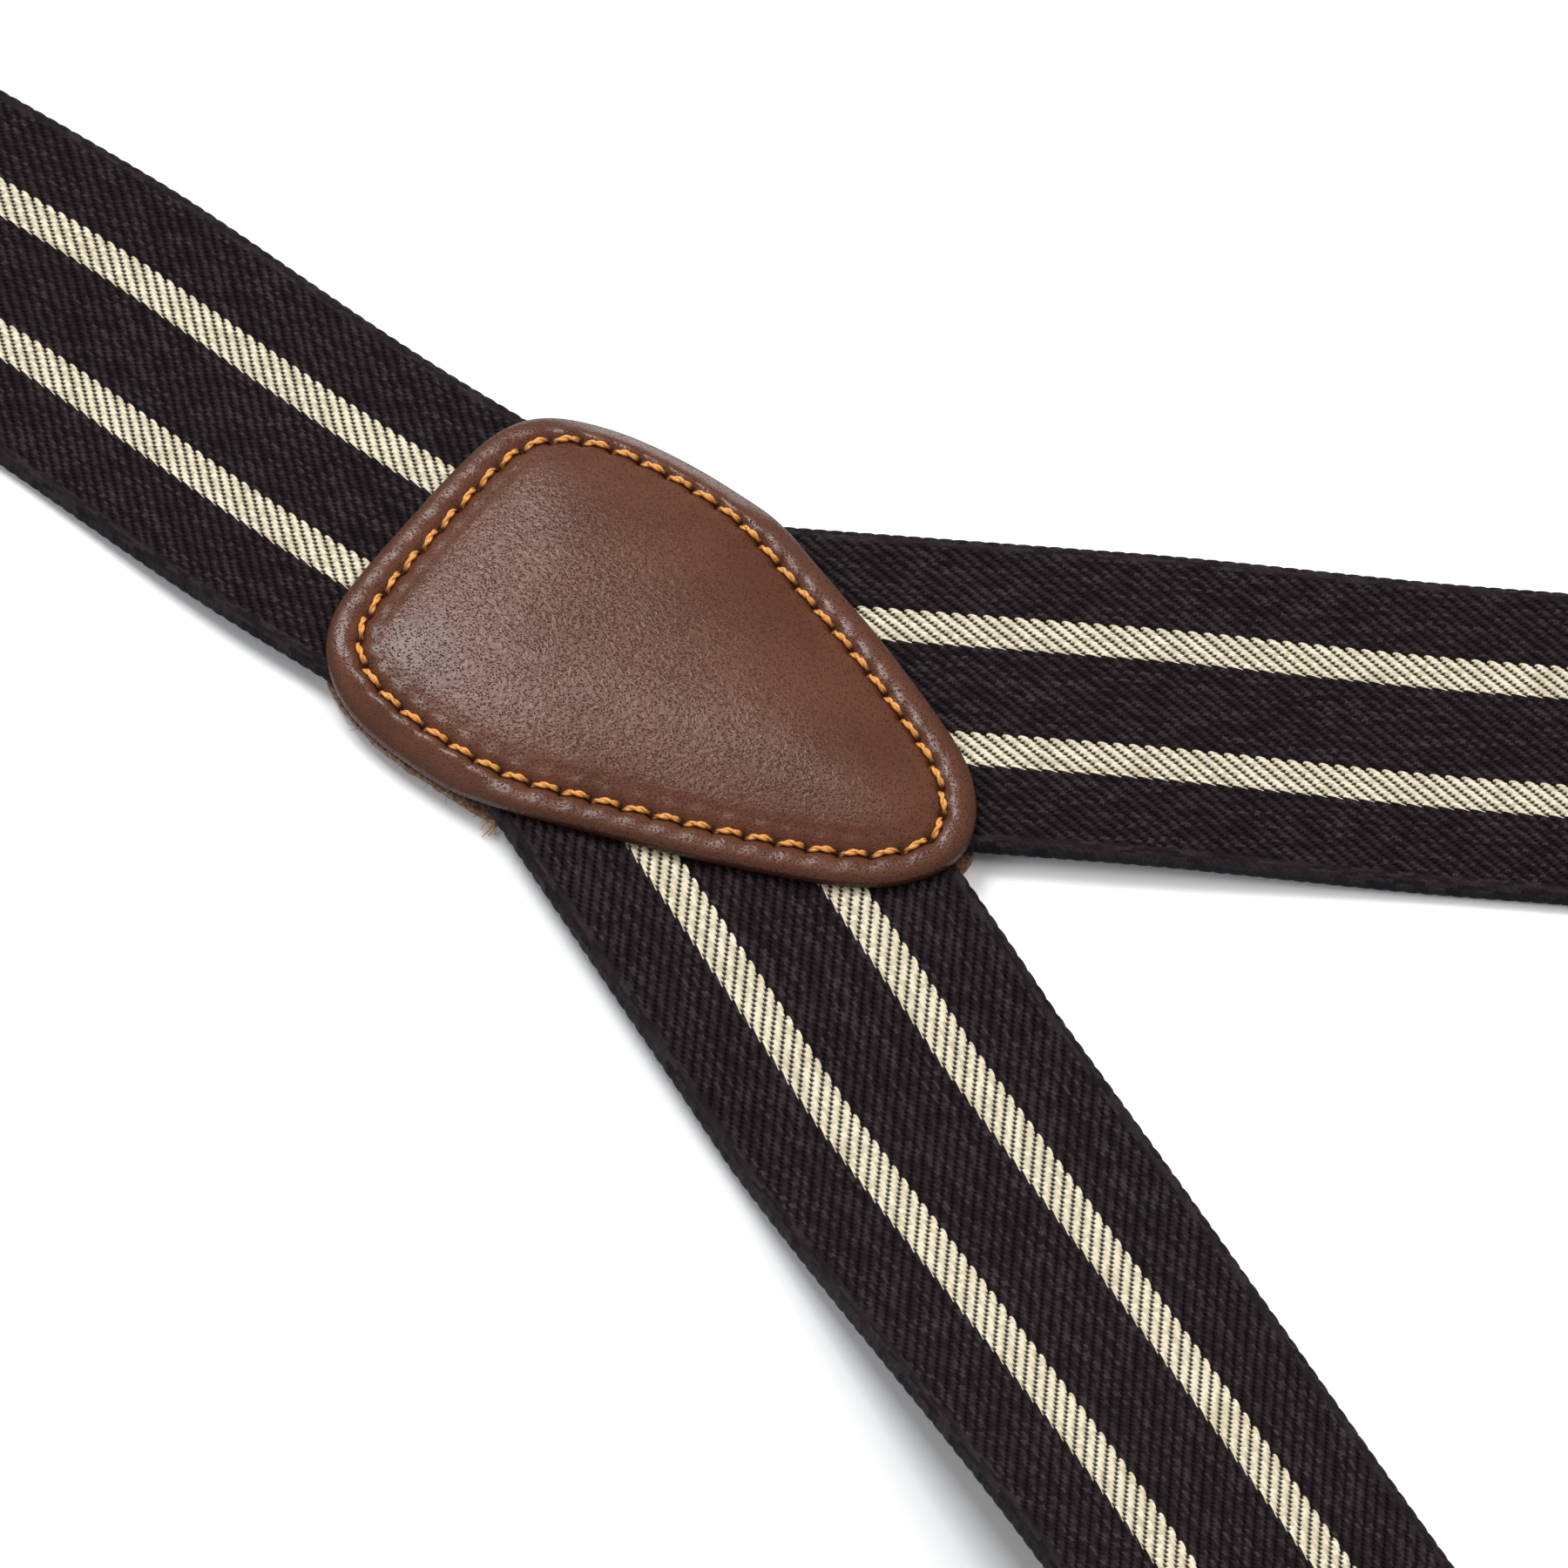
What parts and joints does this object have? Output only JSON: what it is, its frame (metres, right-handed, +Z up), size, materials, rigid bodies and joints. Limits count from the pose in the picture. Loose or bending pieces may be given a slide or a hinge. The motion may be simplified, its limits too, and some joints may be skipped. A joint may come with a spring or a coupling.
{
  "type": "y-back suspenders",
  "caption": "Y-back suspenders of dark striped webbing with a stitched leather patch, slide adjusters, leather end tabs and lever clips.",
  "frame": {"origin": "middle of the box the part fills, at the table it lies on", "axes": "+X from the back clip to the two front clips, +Y to the wearer's left strap, +Z up, away from the table"},
  "size_m": [0.9718, 0.2432, 0.0126],
  "materials": {
    "webbing": "ribbed elastic webbing, near-black brown with two beige stripes",
    "patch_leather": "semi-gloss brown leather with fine grain",
    "lining_leather": "dull brown leather with raw cut edge",
    "orange_thread": "twisted thread",
    "dark_thread": "twisted thread",
    "nickel": "polished nickel plate",
    "grip": "ribbed moulded grip"
  },
  "bodies": {
    "straps": {"patch_leather": "patch_leather", "patch_lining": "lining_leather", "patch_stitching": "orange_thread", "back_strap": "webbing", "back_strap_tack": "dark_thread", "left_front_strap": "webbing", "right_front_strap": "webbing"},
    "back_ring": {"back_ring": "nickel"},
    "back_tab": {"back_tab": "patch_leather", "back_tab_stitching": "orange_thread"},
    "back_clip": {"back_clip_base": "nickel", "back_clip_pad": "grip", "back_clip_pin": "nickel"},
    "back_lever": {"back_clip_lever": "nickel", "back_lever_pad": "grip"},
    "left_end": {"left_return_run": "webbing"},
    "left_adjuster": {"left_adjuster_frame": "nickel", "left_gate_pin": "nickel", "left_return_tack": "dark_thread"},
    "left_gate": {"left_adjuster_gate": "nickel"},
    "left_ring": {"left_ring": "nickel"},
    "left_tab": {"left_tab": "patch_leather", "left_tab_stitching": "orange_thread"},
    "left_clip": {"left_clip_base": "nickel", "left_clip_pad": "grip", "left_clip_pin": "nickel"},
    "left_lever": {"left_clip_lever": "nickel", "left_lever_pad": "grip"},
    "right_end": {"right_return_run": "webbing"},
    "right_adjuster": {"right_adjuster_frame": "nickel", "right_gate_pin": "nickel", "right_return_tack": "dark_thread"},
    "right_gate": {"right_adjuster_gate": "nickel"},
    "right_ring": {"right_ring": "nickel"},
    "right_tab": {"right_tab": "patch_leather", "right_tab_stitching": "orange_thread"},
    "right_clip": {"right_clip_base": "nickel", "right_clip_pad": "grip", "right_clip_pin": "nickel"},
    "right_lever": {"right_clip_lever": "nickel", "right_lever_pad": "grip"}
  },
  "joints": [
    {"name": "back_ring_swing", "type": "hinge", "parent": "straps", "child": "back_ring", "pos_m": [-0.395, 0, 0.00435], "axis": [0, 1, 0], "range_deg": [-60, 60]},
    {"name": "back_tab_swing", "type": "hinge", "parent": "back_ring", "child": "back_tab", "pos_m": [-0.4065, 0, 0.00435], "axis": [0, 1, 0], "range_deg": [-30, 30]},
    {"name": "back_clip_swing", "type": "hinge", "parent": "back_tab", "child": "back_clip", "pos_m": [-0.4405, 0, 0.00435], "axis": [0, 1, 0], "range_deg": [-45, 45]},
    {"name": "back_lever_hinge", "type": "hinge", "parent": "back_clip", "child": "back_lever", "pos_m": [-0.4765, 0, 0.0062], "axis": [0, -1, 0], "range_deg": [0, 95]},
    {"name": "left_strap_length", "type": "slide", "parent": "straps", "child": "left_end", "axis": [1, 0, 0], "range_m": [-0.045, 0.045], "deforming": ["left_front_strap"]},
    {"name": "left_adjuster_slide", "type": "slide", "parent": "left_end", "child": "left_adjuster", "axis": [1, 0, 0], "range_m": [-0.045, 0.045], "deforming": ["left_return_run"]},
    {"name": "left_gate_hinge", "type": "hinge", "parent": "left_adjuster", "child": "left_gate", "pos_m": [0.2776, 0.1, 0.0108], "axis": [0, -1, 0], "range_deg": [0, 105]},
    {"name": "left_ring_swing", "type": "hinge", "parent": "left_end", "child": "left_ring", "pos_m": [0.395, 0.1, 0.00435], "axis": [0, -1, 0], "range_deg": [-60, 60]},
    {"name": "left_tab_swing", "type": "hinge", "parent": "left_ring", "child": "left_tab", "pos_m": [0.4065, 0.1, 0.00435], "axis": [0, -1, 0], "range_deg": [-30, 30]},
    {"name": "left_clip_swing", "type": "hinge", "parent": "left_tab", "child": "left_clip", "pos_m": [0.4405, 0.1, 0.00435], "axis": [0, -1, 0], "range_deg": [-45, 45]},
    {"name": "left_lever_hinge", "type": "hinge", "parent": "left_clip", "child": "left_lever", "pos_m": [0.4765, 0.1, 0.0062], "axis": [0, 1, 0], "range_deg": [0, 95]},
    {"name": "right_strap_length", "type": "slide", "parent": "straps", "child": "right_end", "axis": [1, 0, 0], "range_m": [-0.045, 0.045], "deforming": ["right_front_strap"]},
    {"name": "right_adjuster_slide", "type": "slide", "parent": "right_end", "child": "right_adjuster", "axis": [1, 0, 0], "range_m": [-0.045, 0.045], "deforming": ["right_return_run"]},
    {"name": "right_gate_hinge", "type": "hinge", "parent": "right_adjuster", "child": "right_gate", "pos_m": [0.2776, -0.1, 0.0108], "axis": [0, -1, 0], "range_deg": [0, 105]},
    {"name": "right_ring_swing", "type": "hinge", "parent": "right_end", "child": "right_ring", "pos_m": [0.395, -0.1, 0.00435], "axis": [0, -1, 0], "range_deg": [-60, 60]},
    {"name": "right_tab_swing", "type": "hinge", "parent": "right_ring", "child": "right_tab", "pos_m": [0.4065, -0.1, 0.00435], "axis": [0, -1, 0], "range_deg": [-30, 30]},
    {"name": "right_clip_swing", "type": "hinge", "parent": "right_tab", "child": "right_clip", "pos_m": [0.4405, -0.1, 0.00435], "axis": [0, -1, 0], "range_deg": [-45, 45]},
    {"name": "right_lever_hinge", "type": "hinge", "parent": "right_clip", "child": "right_lever", "pos_m": [0.4765, -0.1, 0.0062], "axis": [0, 1, 0], "range_deg": [0, 95]}
  ],
  "couplings": [
    {"joint": "left_adjuster_slide", "follows": "left_strap_length", "ratio": 1},
    {"joint": "right_adjuster_slide", "follows": "right_strap_length", "ratio": 1}
  ]
}
